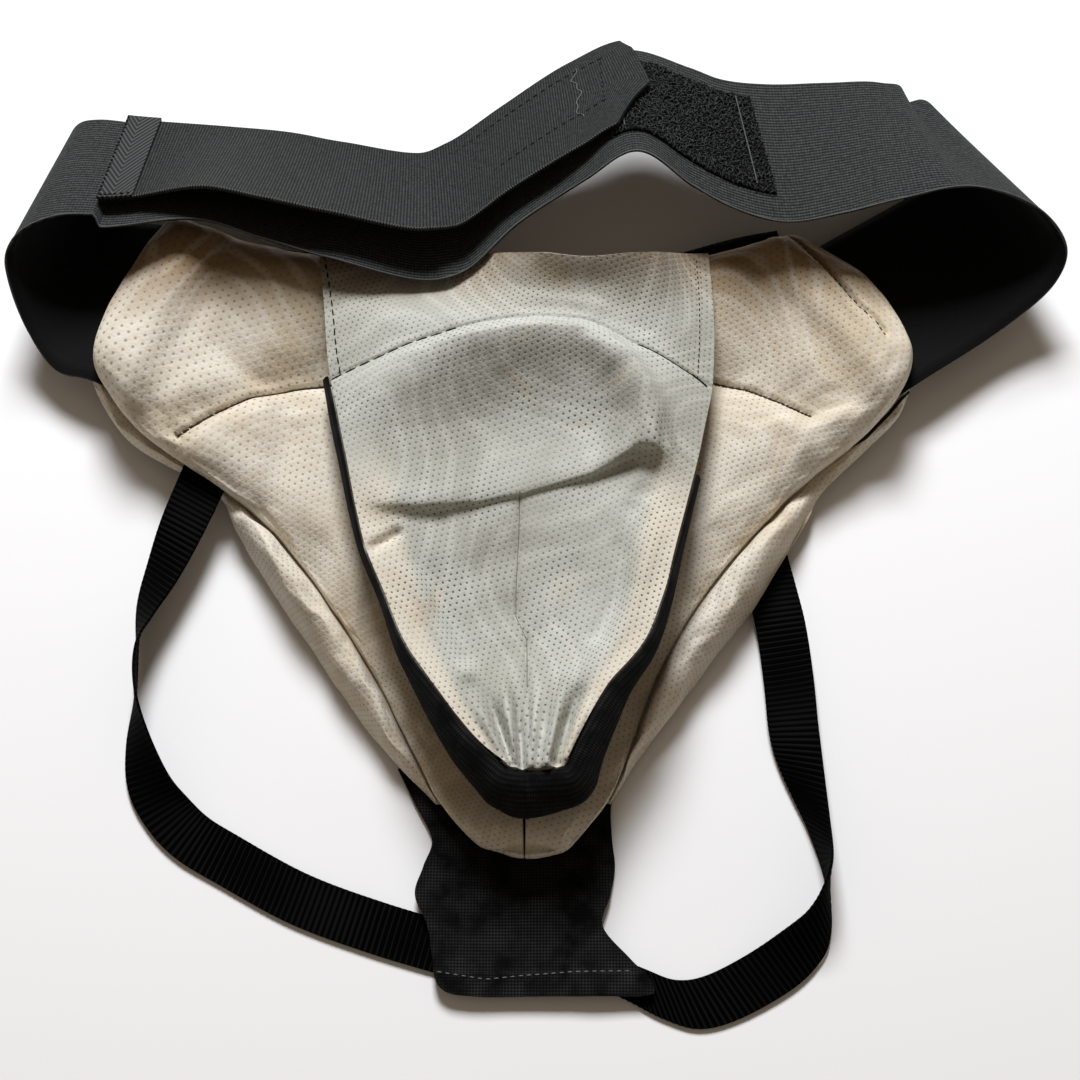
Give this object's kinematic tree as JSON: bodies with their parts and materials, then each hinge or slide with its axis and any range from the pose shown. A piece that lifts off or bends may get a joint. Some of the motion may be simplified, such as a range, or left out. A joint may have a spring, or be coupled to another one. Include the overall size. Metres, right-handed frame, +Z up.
{
  "type": "groin guard",
  "caption": "Padded sports groin guard with a hollow cup pouch, elastic waistband with hook-and-loop closure, and webbing leg straps on a crotch tab.",
  "frame": {"origin": "under the middle of the whole object's box, on the surface that it lies on", "axes": "+Z up out of the wearer's side, +Y towards the waist edge, +X across the guard"},
  "size_m": [0.4374, 0.4116, 0.0619],
  "materials": {
    "elastic": "ribbed woven elastic",
    "webbing": "ribbed woven webbing",
    "knit": "matte knit",
    "cream_mesh": "perforated mesh",
    "pale_mesh": "perforated mesh",
    "tape": "herringbone tape",
    "hook_loop": "loop pile",
    "cup": "moulded"
  },
  "bodies": {
    "root": {"front_cover": "knit", "outer_pad": "cream_mesh", "left_pad": "cream_mesh", "right_pad": "cream_mesh", "pouch_cover": "knit", "cup": "cup", "pocket_panel": "pale_mesh", "pouch_rim": "knit", "waistband": "elastic", "closure_strap": "elastic", "seam_tape": "tape", "hook_patch": "hook_loop", "loop_patch": "hook_loop", "crotch_tab": "knit", "left_leg_strap": "webbing", "right_leg_strap": "webbing"}
  },
  "joints": []
}
